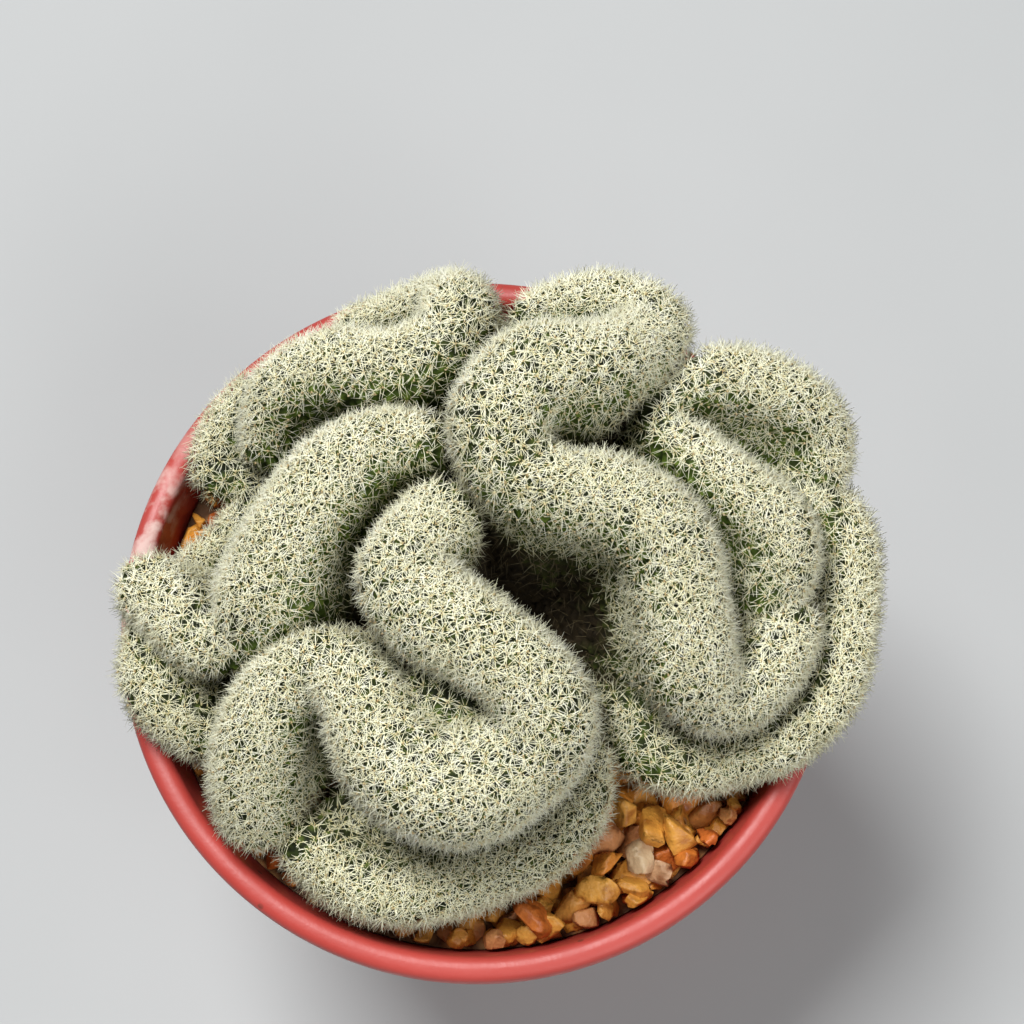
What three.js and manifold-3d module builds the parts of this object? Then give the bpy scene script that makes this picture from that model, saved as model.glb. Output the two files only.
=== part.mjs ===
// A crested mammillaria in a plastic nursery pot, dressed with gravel.
// Millimetres, +Z up. The origin is the centre of the pot's underside, where the pot stands.
// The plant is one body: folds of a crest that fan out of a short stem, covered with
// tubercles and spines. It rests over the gravel, with its stem in a plain hole.

import * as THREE from 'three';
import { mergeVertices } from 'three/addons/utils/BufferGeometryUtils.js';
import Module from 'manifold-3d';

const wasm = await Module();
wasm.setup();

// Driving dimensions

const GAP = 0.3; // between pieces that touch

const POT = {
  height: 75,
  lipRadius: 44,
  lipWidth: 3,
  lipDepth: 4.5,
  lipRound: 0.8,
  baseRadius: 31,
  wall: 1.4,
  floor: 2.5,
  drainHoles: 6,
  drainRadius: 3.5,
  drainCircle: 20,
};
const SIDES = { pot: 48, fill: 40, small: 12 }; // flats round each turned piece
const SOIL_TOP = 60;
const BED_TOP = 65.4;

const STEM = { x: 2, y: 3, radius: 6, bottom: 46 };
const HUB = { bottom: 60, top: 69, radius: 11 };
const CREST_FOOT = 68.4; // the flat underside of the folds, just over the gravel
const FINGER_TAPER = 0.6; // a fold's thickness at the hub, as a share of that at its crest
const FINGER_STEP = 1.2; // along the crest line

// A tubercle rises in full where the next fold is more than reach away.
const SKIN = { cell: 2.9, cover: 0.7, tubercle: 1.1, reach: 1.6, normalStep: 0.8 };
// A share of the tubercles that have room carry a spine, which ends clear of other folds,
// off the gravel and off the pot's lip.
const SPINE = { length: 2.1, halfWidth: 0.2, lean: 0.8, share: 0.5, clear: 1.3, offGravel: 3, offLip: 2 };

// Grains lie pitch apart. Those under the folds show only in the ring outside edge.
const STONE = { pitch: 3.6, low: 3.9, high: 5, edge: 31, jitter: 0.16, sunk: 0.2, rise: 2.2 };
const SEED = { spines: 11, gravel: 5 };

// The crest lines: centre [x, y, z] of each fold's rounded top and its half thickness there,
// out to the tips of the spines. The skin lies SKIN.cover below them.

const FOLDS = {
  middleAndFront: [
    [-4, 8, 94, 6], [-8, 1, 97, 6.5], [-5, -4, 99, 7], [1, -8, 100, 6.5], [6, -12, 99, 6.5],
    [8, -16, 97, 7], [5, -20, 94, 7.5], [-2, -23, 92, 8], [-9, -20, 92, 7.5], [-13, -13, 93, 6],
    [-17, -9, 92, 5.5], [-22, -11, 89, 6], [-25, -16, 86, 6.5], [-26, -21, 82, 6.5], [-26, -24, 79, 6],
  ],
  middleBend: [
    [-5, -12, 91, 5], [0, -14, 92, 5],
  ],
  leftDiagonal: [
    [-6, 17, 96, 4.5], [-12, 16, 96, 5.5], [-17, 12, 95, 6.5], [-21, 6, 93, 7], [-24, 0, 90, 7.5],
    [-27, -4, 87, 5.5], [-32, -5, 85, 5], [-36, -1, 84, 5.5], [-39, 2, 83, 5.5],
  ],
  leftLow: [
    [-38, -2, 80, 5.5], [-39, -9, 79.5, 5], [-35, -13, 78, 5], [-29, -16, 77, 4.5],
  ],
  leftRear: [
    [-25, 20, 84, 5], [-23, 25, 88, 5.5], [-17, 27, 91, 6], [-10, 26, 94, 6], [-4, 28, 95, 6],
    [-2, 33, 93, 6], [-4, 36, 88, 5], [-10, 36, 83, 4.5], [-15, 35, 80, 4.5],
  ],
  leftRearLow: [
    [-27, 27, 80, 4.5], [-31, 23, 78, 4.5], [-32, 18, 77, 4.5], [-27, 16, 77, 4], [-30, 10, 76.5, 4],
    [-34, 6, 77, 4],
  ],
  rightSerpent: [
    [7, 33, 92, 4.5], [12, 34, 93, 5], [17, 34, 94, 5], [21, 31, 95, 5.5], [18, 27, 98, 6],
    [13, 24, 101, 6.5], [7, 23, 102, 7], [3, 18, 102, 7], [4, 13, 101, 6.5], [9, 10, 100, 6],
    [16, 9, 98, 6.5], [22, 5, 96, 6.5], [24, -2, 93, 6.5], [25, -8, 90, 6.5], [27, -11, 87, 6],
    [31, -11, 85, 5.5], [35, -7, 85, 5.5], [37, -3, 86, 5],
  ],
  rightCurl: [
    [41, 16, 86, 5], [41, 20, 88, 5], [38, 23, 91, 5], [32, 25, 93, 5], [27, 25, 94, 4.5],
    [22, 22, 94, 4], [22, 19, 94, 4], [25, 16, 94, 4.5], [30, 12, 93, 5], [35, 8, 91, 5.5],
    [36, 4, 89, 5.5], [35, 1, 87, 5],
  ],
  rightLow: [
    [38, 12, 86, 4], [42, 12, 84, 4.5], [45, 7, 83, 4.5], [45, 1, 82, 4.5], [44, -6, 81, 4.5],
    [42, -11, 80, 4.5], [37, -15, 78.5, 5], [31, -17, 77, 5], [25, -18, 76, 5], [20, -16, 76, 5],
    [19, -11, 78, 4.5],
  ],
  frontLow: [
    [-20, -28, 77, 5], [-15, -32, 75.5, 5], [-8, -33, 75.5, 5.5], [0, -31, 76, 5.5], [8, -28, 77, 5],
    [12, -23, 78, 5], [13, -18, 78, 4.5],
  ],
  rearLow: [
    [-20, 30, 76, 4.5], [-12, 33, 76.5, 4.5], [-3, 34, 77, 5], [6, 33, 77, 5], [14, 34, 77, 4.5],
    [21, 31, 78, 4.5], [26, 26, 80, 4.5], [30, 22, 81, 4.5], [33, 17, 80, 4.5],
  ],
};

// Chance, the same at each run

function seededRandom(seed) {
  let state = seed;
  return () => {
    state = (state + 0x6d2b79f5) | 0;
    let mixed = Math.imul(state ^ (state >>> 15), 1 | state);
    mixed = (mixed + Math.imul(mixed ^ (mixed >>> 7), 61 | mixed)) ^ mixed;
    return ((mixed ^ (mixed >>> 14)) >>> 0) / 4294967296;
  };
}

const between = (random, low, high) => low + (high - low) * random();
const clamp01 = (value) => Math.min(Math.max(value, 0), 1);

// Solids that are joined and cut

function toSolid(geometry) {
  const bare = geometry.clone();
  bare.deleteAttribute('normal');
  bare.deleteAttribute('uv');
  const merged = mergeVertices(bare, 1e-4);
  const corners = merged.index.array;
  const closed = [];
  for (let i = 0; i < corners.length; i += 3) {
    const [a, b, c] = [corners[i], corners[i + 1], corners[i + 2]];
    if (a !== b && b !== c && c !== a) closed.push(a, b, c);
  }
  return new wasm.Manifold(new wasm.Mesh({
    numProp: 3,
    vertProperties: Float32Array.from(merged.getAttribute('position').array),
    triVerts: Uint32Array.from(closed),
  }));
}

function toGeometry(solid) {
  const mesh = solid.getMesh();
  const geometry = new THREE.BufferGeometry();
  geometry.setAttribute('position', new THREE.BufferAttribute(Float32Array.from(mesh.vertProperties), 3));
  geometry.setIndex(new THREE.BufferAttribute(Uint32Array.from(mesh.triVerts), 1));
  geometry.computeVertexNormals();
  return geometry;
}

/** The largest of a join's bodies: sealed hollows are filled, and loose scraps dropped. */
function oneBody(solid) {
  return solid.decompose().reduce((largest, body) => (body.volume() > largest.volume() ? body : largest));
}

/** A closed profile of [radius, z] points, from the axis to the axis, turned round +Z. */
function turned(profile, sides) {
  const points = profile.map(([radius, z]) => new THREE.Vector2(radius, z));
  const lathe = new THREE.LatheGeometry(points, sides);
  return lathe.rotateX(Math.PI / 2);
}

function upright(radius, bottom, top, x, y) {
  const cylinder = new THREE.CylinderGeometry(radius, radius, top - bottom, SIDES.small);
  return cylinder.rotateX(Math.PI / 2).translate(x, y, (bottom + top) / 2);
}

function named(name, geometry, color, roughness) {
  const material = new THREE.MeshStandardMaterial({ color, roughness, metalness: 0 });
  const mesh = new THREE.Mesh(geometry, material);
  mesh.name = name;
  return mesh;
}

// Pot: a tapered shell with a thick rolled lip and drain holes round its floor

const innerTopRadius = POT.lipRadius - POT.lipWidth;
const innerFloorRadius = POT.baseRadius - POT.wall;

/** The pot's inner radius at a height. */
function bore(z) {
  const rise = (z - POT.floor) / (POT.height - POT.floor);
  return innerFloorRadius + rise * (innerTopRadius - innerFloorRadius);
}

function potGeometry() {
  const { height, lipRadius, lipDepth, lipRound, baseRadius, wall, floor } = POT;
  const lipFoot = height - lipDepth;
  const profile = [
    [0, 0],
    [baseRadius - lipRound, 0],
    [baseRadius, lipRound],
    [bore(lipFoot) + wall, lipFoot - lipRound],
    [lipRadius - lipRound, lipFoot],
    [lipRadius, lipFoot + lipRound],
    [lipRadius, height - lipRound],
    [lipRadius - lipRound, height],
    [innerTopRadius + lipRound, height],
    [innerTopRadius, height - lipRound],
    [innerFloorRadius + lipRound, floor + lipRound],
    [innerFloorRadius, floor],
    [0, floor],
  ];
  let shell = toSolid(turned(profile, SIDES.pot));
  for (let i = 0; i < POT.drainHoles; i += 1) {
    const angle = ((i + 0.5) / POT.drainHoles) * 2 * Math.PI;
    const [x, y] = [POT.drainCircle * Math.cos(angle), POT.drainCircle * Math.sin(angle)];
    shell = shell.subtract(toSolid(upright(POT.drainRadius, -1, floor + 1, x, y)));
  }
  return toGeometry(shell);
}

// Potting mix: it fills the pot up to the gravel, with a plain hole for the stem

function stemHole() {
  return toSolid(upright(STEM.radius + GAP, STEM.bottom - GAP, POT.height, STEM.x, STEM.y));
}

function soilGeometry() {
  const bottom = POT.floor + GAP;
  const corner = POT.lipRound;
  const profile = [
    [0, bottom],
    [bore(bottom) - GAP - corner, bottom],
    [bore(bottom + corner) - GAP, bottom + corner],
    [bore(SOIL_TOP) - GAP, SOIL_TOP],
    [0, SOIL_TOP],
  ];
  return toGeometry(toSolid(turned(profile, SIDES.fill)).subtract(stemHole()));
}

// Crest: fingers that fan out of the hub to the crest lines, side by side in walls

function fingersOf(points) {
  const path = new THREE.CatmullRomCurve3(points.map(([x, y, z]) => new THREE.Vector3(x, y, z)));
  const thickness = new THREE.CatmullRomCurve3(points.map(([, , , r]) => new THREE.Vector3(r, 0, 0)));
  const count = Math.ceil(path.getLength() / FINGER_STEP);
  return Array.from({ length: count + 1 }, (_, i) => {
    const along = i / count;
    return { tip: path.getPoint(along), radius: thickness.getPoint(along).x };
  });
}

const root = new THREE.Vector3(STEM.x, STEM.y, HUB.bottom);
const hub = { tip: new THREE.Vector3(STEM.x, STEM.y, HUB.top), radius: HUB.radius };

const fingers = [hub, ...Object.values(FOLDS).flatMap(fingersOf)].map(({ tip, radius }) => {
  const axis = tip.clone().sub(root);
  return { axis, radius, square: axis.lengthSq(), foot: radius * FINGER_TAPER };
});

/** How far a point lies outside the nearest finger, negative inside it. */
function fingerDistance(x, y, z) {
  const [px, py, pz] = [x - root.x, y - root.y, z - root.z];
  let nearest = Infinity;
  for (const { axis, radius, square, foot } of fingers) {
    const along = clamp01((px * axis.x + py * axis.y + pz * axis.z) / square);
    const off = Math.hypot(px - along * axis.x, py - along * axis.y, pz - along * axis.z);
    nearest = Math.min(nearest, off - foot - along * (radius - foot));
  }
  return nearest;
}

const crestDistance = (x, y, z) => Math.max(fingerDistance(x, y, z) + SKIN.cover, CREST_FOOT - z);

// Skin: one point in each grid cell that the surface crosses, every second one a tubercle

const filled = -SKIN.cell / 4; // the distance given to a sample that is filled

/** Distances on a grid, with hidden hollows and gaps thinner than a cell filled. */
function sampled(distance, low, counts) {
  const { cell } = SKIN;
  const [nx, ny, nz] = counts;
  const steps = [1, nx, nx * ny];
  const field = new Float32Array(nx * ny * nz);
  for (let k = 0; k < nz; k += 1) {
    for (let j = 0; j < ny; j += 1) {
      for (let i = 0; i < nx; i += 1) {
        field[i + nx * (j + ny * k)] = distance(low.x + i * cell, low.y + j * cell, low.z + k * cell);
      }
    }
  }
  fillCrossings(field, steps);
  fillHollows(field, steps);
  return { field, steps };
}

/** Two filled samples may not meet only across the diagonal of a grid square. */
function fillCrossings(field, steps) {
  const squares = [[0, 1], [1, 2], [2, 0]].map(([a, b]) => [steps[a], steps[b]]);
  const last = field.length - steps[1] - steps[2] - 1;
  let changed = true;
  while (changed) {
    changed = false;
    for (let s = 0; s < last; s += 1) {
      for (const [a, b] of squares) {
        const square = [s, s + a, s + a + b, s + b];
        const inside = square.map((corner) => field[corner] < 0);
        const crossing = inside[0] === inside[2] && inside[1] === inside[3] && inside[0] !== inside[1];
        if (crossing) {
          field[inside[0] ? square[1] : square[0]] = filled;
          changed = true;
        }
      }
    }
  }
}

/** Samples that no way from the outermost corner reaches are filled. */
function fillHollows(field, steps) {
  const open = new Uint8Array(field.length);
  const queue = [0];
  open[0] = 1;
  while (queue.length > 0) {
    const s = queue.pop();
    for (const step of steps) {
      for (const next of [s - step, s + step]) {
        if (next >= 0 && next < field.length && !open[next] && field[next] >= 0) {
          open[next] = 1;
          queue.push(next);
        }
      }
    }
  }
  for (let s = 0; s < field.length; s += 1) {
    if (!open[s] && field[s] >= 0) field[s] = filled;
  }
}

/** The mean of the points where the surface crosses a cell's twelve edges, or null. */
function cellPoint(field, steps, s) {
  const sum = new THREE.Vector3();
  let crossings = 0;
  for (let axis = 0; axis < 3; axis += 1) {
    const [b, c] = [(axis + 1) % 3, (axis + 2) % 3];
    for (const [atB, atC] of [[0, 0], [1, 0], [0, 1], [1, 1]]) {
      const start = s + atB * steps[b] + atC * steps[c];
      const [d0, d1] = [field[start], field[start + steps[axis]]];
      if (d0 < 0 !== d1 < 0) {
        const point = new THREE.Vector3();
        point.setComponent(axis, d0 / (d0 - d1)).setComponent(b, atB).setComponent(c, atC);
        sum.add(point);
        crossings += 1;
      }
    }
  }
  return crossings > 0 ? sum.multiplyScalar(SKIN.cell / crossings) : null;
}

function outward(distance, { x, y, z }, step) {
  return new THREE.Vector3(
    distance(x + step, y, z) - distance(x - step, y, z),
    distance(x, y + step, z) - distance(x, y - step, z),
    distance(x, y, z + step) - distance(x, y, z - step),
  ).normalize();
}

/** Grid points of the skin in reading order, with the tubercles raised and their spines set. */
function skinPoints(distance, low, counts, { field, steps }, random) {
  const { cell, tubercle, reach, normalStep } = SKIN;
  const points = new Map();
  for (let s = 0; s < field.length; s += 1) {
    const place = [s % counts[0], Math.floor(s / steps[1]) % counts[1], Math.floor(s / steps[2])];
    if (place.some((step, axis) => step === counts[axis] - 1)) continue;
    const offset = cellPoint(field, steps, s);
    if (offset === null) continue;
    const at = new THREE.Vector3(...place).multiplyScalar(cell).add(low).add(offset);
    const raised = (place[0] + place[1] + place[2]) % 2 === 0;
    const point = { at, raised, id: points.size, spineTip: null };
    if (raised && at.z > CREST_FOOT + cell / 2) {
      const direction = outward(distance, at, normalStep);
      const ahead = at.clone().addScaledVector(direction, reach);
      const openness = clamp01(distance(...ahead.toArray()) / reach);
      at.addScaledVector(direction, tubercle * openness);
      point.spineTip = spineTip(distance, at, direction, random);
    }
    points.set(s, point);
  }
  return points;
}

/** Where a spine leaning any way ends, or null where a fold, the lip or the gravel is in its way. */
function spineTip(distance, at, direction, random) {
  const drift = new THREE.Vector3(between(random, -1, 1), between(random, -1, 1), between(random, -1, 1));
  const heading = direction.clone().addScaledVector(drift, SPINE.lean).normalize();
  const tip = at.clone().addScaledVector(heading, SPINE.length);
  const overLip = Math.hypot(tip.x, tip.y) > innerTopRadius - SPINE.offLip;
  const floor = overLip ? POT.height + SPINE.offLip : CREST_FOOT + SPINE.offGravel;
  const free = distance(...tip.toArray()) > SPINE.clear && tip.z > floor;
  return free && random() < SPINE.share ? tip : null;
}

/** The closed skin: two triangles at each crossed grid edge, and a spine standing on its tubercle. */
function skinOf(distance, box, random) {
  const extent = box.getSize(new THREE.Vector3()).toArray();
  const counts = extent.map((length) => Math.ceil(length / SKIN.cell) + 1);
  const grid = sampled(distance, box.min, counts);
  const { field, steps } = grid;
  const points = skinPoints(distance, box.min, counts, grid, random);
  const positions = [...points.values()].flatMap(({ at }) => at.toArray());
  const corners = [];
  const feet = new Map();
  const addPoint = (at) => positions.push(...at.toArray()) / 3 - 1;

  const footOf = (tubercle, neighbour) => {
    const key = `${tubercle.id} ${neighbour.id}`;
    if (!feet.has(key)) {
      const side = neighbour.at.clone().sub(tubercle.at).setLength(SPINE.halfWidth);
      feet.set(key, addPoint(side.add(tubercle.at)));
    }
    return feet.get(key);
  };
  const addFace = (tubercle, a, b) => {
    if (tubercle.spineTip === null) {
      corners.push(tubercle.id, a.id, b.id);
      return;
    }
    tubercle.tipId ??= addPoint(tubercle.spineTip);
    const [footA, footB] = [footOf(tubercle, a), footOf(tubercle, b)];
    corners.push(footA, a.id, b.id, footA, b.id, footB, tubercle.tipId, footA, footB);
  };

  for (let s = steps[0] + steps[1]; s < field.length - steps[2]; s += 1) {
    for (let axis = 0; axis < 3; axis += 1) {
      const next = s + steps[axis];
      if (field[s] < 0 === field[next] < 0) continue;
      const [b, c] = [steps[(axis + 1) % 3], steps[(axis + 2) % 3]];
      const quad = [s, s - b, s - b - c, s - c].map((around) => points.get(around));
      if (field[next] < 0) quad.reverse();
      if (!quad[0].raised) quad.push(quad.shift());
      addFace(quad[0], quad[1], quad[3]);
      addFace(quad[2], quad[3], quad[1]);
    }
  }
  const geometry = new THREE.BufferGeometry();
  geometry.setAttribute('position', new THREE.Float32BufferAttribute(positions, 3));
  geometry.setIndex(corners);
  return geometry;
}

/** The ring of room that the pot's wall and lip take up. */
function lipClearance() {
  const space = 1.5 * GAP;
  const [bottom, top] = [SOIL_TOP, POT.height + space];
  const outer = 1.3 * POT.lipRadius;
  const ring = [
    [bore(bottom) - space, bottom],
    [outer, bottom],
    [outer, top],
    [innerTopRadius - space, top],
    [bore(bottom) - space, bottom],
  ];
  return toSolid(turned(ring, SIDES.pot));
}

/** A box round all the fingers, whose lowest corner is a little more than a cell below the folds. */
function crestBox() {
  const box = new THREE.Box3();
  for (const { axis, radius } of fingers) {
    const size = new THREE.Vector3().setScalar(2 * radius);
    box.union(new THREE.Box3().setFromCenterAndSize(axis.clone().add(root), size));
  }
  box.expandByScalar(SKIN.cell);
  box.min.z = CREST_FOOT - 1.4 * SKIN.cell;
  return box;
}

function cactusGeometry() {
  const skin = skinOf(crestDistance, crestBox(), seededRandom(SEED.spines));
  const stem = upright(STEM.radius, STEM.bottom, HUB.top, STEM.x, STEM.y);
  return toGeometry(oneBody(toSolid(skin).subtract(lipClearance()).add(toSolid(stem))));
}

// Gravel: broken grains fused over a bed, low where the folds lie over them

/** A box with its corners knocked about, turned any way. */
function grain(size, random) {
  const box = new THREE.BoxGeometry(size, size * 0.8, size * 0.7);
  box.deleteAttribute('normal');
  box.deleteAttribute('uv');
  const stone = mergeVertices(box);
  const corners = stone.getAttribute('position');
  const knock = () => between(random, -1, 1) * STONE.jitter * size;
  for (let i = 0; i < corners.count; i += 1) {
    corners.setXYZ(i, corners.getX(i) + knock(), corners.getY(i) + knock(), corners.getZ(i) + knock());
  }
  const angles = Array.from({ length: 3 }, () => between(random, 0, 2 * Math.PI));
  return stone.applyQuaternion(new THREE.Quaternion().setFromEuler(new THREE.Euler(...angles)));
}

/** Whether a place on the gravel has open sky over it, or lies in the ring along the pot's wall. */
function inView(x, y) {
  const heights = [POT.height - 3, POT.height + 3, POT.height + 9];
  const openSky = heights.every((z) => fingerDistance(x, y, z) > 0);
  return openSky || Math.hypot(x, y) > STONE.edge;
}

/** Sets a grain down at a place on the bed, inside the pot's wall and clear of the folds. */
function settle(stone, x, y, size, random) {
  const z = BED_TOP + between(random, -STONE.sunk, STONE.rise);
  const underFold = fingerDistance(x, y, z) < 0.75 * size + SKIN.tubercle;
  const ceiling = underFold ? CREST_FOOT - GAP : POT.height;
  stone.translate(x, y, z);
  stone.computeBoundingBox();
  stone.translate(0, 0, Math.min(0, ceiling - stone.boundingBox.max.z));
  const corners = stone.getAttribute('position');
  let reach = 0;
  for (let i = 0; i < corners.count; i += 1) {
    reach = Math.max(reach, Math.hypot(corners.getX(i), corners.getY(i)));
  }
  const wall = bore(stone.boundingBox.min.z) - GAP;
  const pull = Math.min(0, wall - reach) / Math.hypot(x, y);
  stone.translate(pull * x, pull * y, 0);
  stone.computeBoundingBox();
  return stone;
}

function gravelGeometry() {
  const random = seededRandom(SEED.gravel);
  const bottom = SOIL_TOP + GAP;
  const profile = [
    [0, bottom],
    [bore(bottom) - GAP, bottom],
    [bore(BED_TOP) - GAP, BED_TOP],
    [0, BED_TOP],
  ];
  const grains = [];
  const goldenAngle = Math.PI * (3 - Math.sqrt(5));
  const outer = bore(BED_TOP) - STONE.high / 2;
  const count = Math.round((outer / STONE.pitch) ** 2 * Math.PI);
  for (let i = 0; i < count; i += 1) {
    const radius = outer * Math.sqrt((i + 0.5) / count);
    const size = between(random, STONE.low, STONE.high);
    const [x, y] = [radius * Math.cos(i * goldenAngle), radius * Math.sin(i * goldenAngle)];
    const stone = settle(grain(size, random), x, y, size, random);
    if (inView(x, y) && stone.boundingBox.min.z > bottom + GAP) grains.push(toSolid(stone));
  }
  const bed = toSolid(turned(profile, SIDES.fill));
  return toGeometry(oneBody(bed.add(wasm.Manifold.union(grains)).subtract(stemHole())));
}

// The whole object

const object = new THREE.Group();
object.add(named('pot', potGeometry(), 0xb4523f, 0.5));
object.add(named('soil', soilGeometry(), 0x33261c, 1));
object.add(named('gravel', gravelGeometry(), 0xb8813f, 0.85));
object.add(named('cactus', cactusGeometry(), 0xa3ab8e, 0.8));

export default object;
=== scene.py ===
import math

import bpy
import numpy as np
from mathutils import Matrix, Vector
from mathutils.bvhtree import BVHTree


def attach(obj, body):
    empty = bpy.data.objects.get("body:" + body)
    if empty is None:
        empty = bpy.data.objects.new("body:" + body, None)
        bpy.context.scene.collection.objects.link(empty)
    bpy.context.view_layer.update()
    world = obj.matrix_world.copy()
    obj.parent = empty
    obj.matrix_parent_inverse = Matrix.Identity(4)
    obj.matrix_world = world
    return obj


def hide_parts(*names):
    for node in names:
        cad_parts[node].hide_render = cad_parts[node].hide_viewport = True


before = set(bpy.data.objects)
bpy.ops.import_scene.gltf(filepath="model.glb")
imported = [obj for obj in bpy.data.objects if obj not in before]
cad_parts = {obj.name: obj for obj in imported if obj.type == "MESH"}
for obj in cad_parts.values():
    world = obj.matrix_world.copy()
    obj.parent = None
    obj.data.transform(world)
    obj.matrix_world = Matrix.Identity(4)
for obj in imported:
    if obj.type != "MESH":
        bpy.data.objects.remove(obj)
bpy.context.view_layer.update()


# ---- View ----
# A camera 300 mm from the crest and nearly overhead, tipped a little so that the near side of the
# folds and the pot's lip show.

tip_angle, view_range = math.radians(76), 0.3
aim = Vector((0.00425, 0.01355, 0.075))
backward = Vector((0, -math.cos(tip_angle), math.sin(tip_angle)))
upward = Vector((0, math.sin(tip_angle), math.cos(tip_angle)))
lens = bpy.data.cameras.new("view")
lens.lens, lens.sensor_width, lens.clip_start = 84.8, 36, 0.01
camera = bpy.data.objects.new("view", lens)
camera_turn = Matrix((Vector((1, 0, 0)), upward, backward)).transposed().to_4x4()
camera.matrix_world = Matrix.Translation(aim + view_range * backward) @ camera_turn
bpy.context.scene.collection.objects.link(camera)
bpy.context.scene.camera = camera
bpy.context.scene.view_settings.view_transform = "Standard"


# ---- Floor and light ----
# A plain pale table just under the pot, a soft lamp high behind the left side, a weaker and
# larger one high at the front right, and an even glow all round, so that only the deep creases
# go dark.

def made_object(name, points, faces, material, smooth=True):
    """An object from whole arrays: points (n, 3) in metres, and faces as one or more arrays of
    row numbers, each with its own number of corners."""
    counts = np.concatenate([np.full(len(group), group.shape[1]) for group in faces])
    corners = np.concatenate([group.ravel() for group in faces])
    mesh = bpy.data.meshes.new(name)
    mesh.vertices.add(len(points))
    mesh.vertices.foreach_set("co", np.asarray(points, np.float32).ravel())
    mesh.loops.add(len(corners))
    mesh.loops.foreach_set("vertex_index", corners.astype(np.int32))
    mesh.polygons.add(len(counts))
    starts = np.concatenate([[0], np.cumsum(counts)[:-1]])
    mesh.polygons.foreach_set("loop_start", starts.astype(np.int32))
    mesh.polygons.foreach_set("use_smooth", np.full(len(counts), smooth))
    mesh.update(calc_edges=True)
    mesh.validate()
    if material:
        mesh.materials.append(material)
    made = bpy.data.objects.new(name, mesh)
    bpy.context.scene.collection.objects.link(made)
    return made


def finish_of(name, roughness):
    """A new material with its shader node and that roughness on the shader's own socket."""
    material = bpy.data.materials.new(name)
    material.use_nodes = True
    shader = material.node_tree.nodes["Principled BSDF"]
    shader.inputs["Roughness"].default_value = roughness
    return material, shader


def node(material, kind, settings=None, **sockets):
    """One more node of a material. Each socket takes a plain value or another node's output."""
    made = material.node_tree.nodes.new("ShaderNode" + kind)
    for key, value in (settings or {}).items():
        setattr(made, key, value)
    for key, value in sockets.items():
        socket = made.inputs[int(key[1:]) if key[1:].isdigit() else key.replace("_", " ")]
        if isinstance(value, bpy.types.NodeSocket):
            material.node_tree.links.new(value, socket)
        else:
            socket.default_value = value
    return made


def ramp(material, factor, *stops):
    """Colours along a factor from 0 to 1: each stop is its place and its red, green and blue."""
    made = node(material, "ValToRGB", None, Fac=factor)
    band = made.color_ramp
    while len(band.elements) < len(stops):
        band.elements.new(0.5)
    for element, (place, *colour) in zip(band.elements, stops):
        element.position, element.color = place, (*colour, 1)
    return made.outputs["Color"]


def noise(material, place, scale, detail=3.0):
    """A soft random value of about 0 to 1, at so many waves a metre."""
    made = node(material, "TexNoise", None, Vector=place, Scale=scale, Detail=detail)
    return made.outputs["Fac"]


def here(material):
    """The point's own place in the part's frame, in metres."""
    return node(material, "TexCoord").outputs["Object"]


def colour(material, shader, output, socket="Base Color"):
    """Joins an output to one of the shader's sockets."""
    material.node_tree.links.new(output, shader.inputs[socket])


table_finish, shader = finish_of("table", 0.6)
mottle = noise(table_finish, here(table_finish), 9.0)
pale = ramp(table_finish, mottle, (0.3, 0.36, 0.37, 0.37), (0.7, 0.39, 0.40, 0.40))
colour(table_finish, shader, pale)
table_half, under_pot = 2, 0.00005
square = np.array([[-1, -1, 0], [1, -1, 0], [1, 1, 0], [-1, 1, 0]])
corners = table_half * square - [0, 0, under_pot]
table = made_object("table", corners, [np.array([[0, 1, 2, 3]])], table_finish)

lamp_aim = Vector((0, 0, 0.08))
lamps = {
    "key": (Vector((-0.30, 0.36, 1.15)), 0.42, 18.4),
    "fill": (Vector((0.55, -0.55, 0.85)), 0.80, 6.9),
}
for name, (place, size, power) in lamps.items():
    light = bpy.data.lights.new(name, "AREA")
    light.size, light.energy = size, power
    lamp = bpy.data.objects.new(name, light)
    lamp.location = place
    lamp.rotation_euler = (lamp_aim - place).to_track_quat("-Z", "Y").to_euler()
    bpy.context.scene.collection.objects.link(lamp)
glow = bpy.data.worlds.new("glow")
glow.use_nodes = True
sky_light = glow.node_tree.nodes["Background"]
sky_light.inputs["Color"].default_value = (0.95, 0.97, 1.0, 1)
sky_light.inputs["Strength"].default_value = 0.18
bpy.context.scene.world = glow


# ---- Pot ----
# A nursery pot, injection moulded in brick-red polypropylene, 88 mm across its lip. The wall is
# thin and leans out to a thick rounded lip, and the floor has six drain holes.

pot_height, lip_radius, lip_inner, lip_depth = 0.075, 0.044, 0.041, 0.0045
base_radius, pot_wall, floor_top, floor_inner = 0.031, 0.0014, 0.0025, 0.0296
drain_circle, drain_radius, drain_holes = 0.020, 0.0035, 6


def bore(z):
    """Inner radius of the pot at a height: a straight line from the floor to the lip."""
    return floor_inner + (z - floor_top) * (lip_inner - floor_inner) / (pot_height - floor_top)


def rounded(corners, reaches, steps):
    """A line through corners with each one eased: from the point a reach before the corner to
    the point a reach after it runs the quadratic curve that the corner pulls out."""
    corners, reaches = np.array(corners), np.array(reaches)[:, None]
    before = np.roll(corners, 1, 0) - corners
    after = np.roll(corners, -1, 0) - corners
    start = corners + reaches * before / np.linalg.norm(before, axis=1, keepdims=True)
    end = corners + reaches * after / np.linalg.norm(after, axis=1, keepdims=True)
    t = np.linspace(0, 1, steps)[:, None, None]
    eased = (1 - t) ** 2 * start + 2 * t * (1 - t) * corners + t**2 * end
    return eased.transpose(1, 0, 2).reshape(-1, 2)


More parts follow.
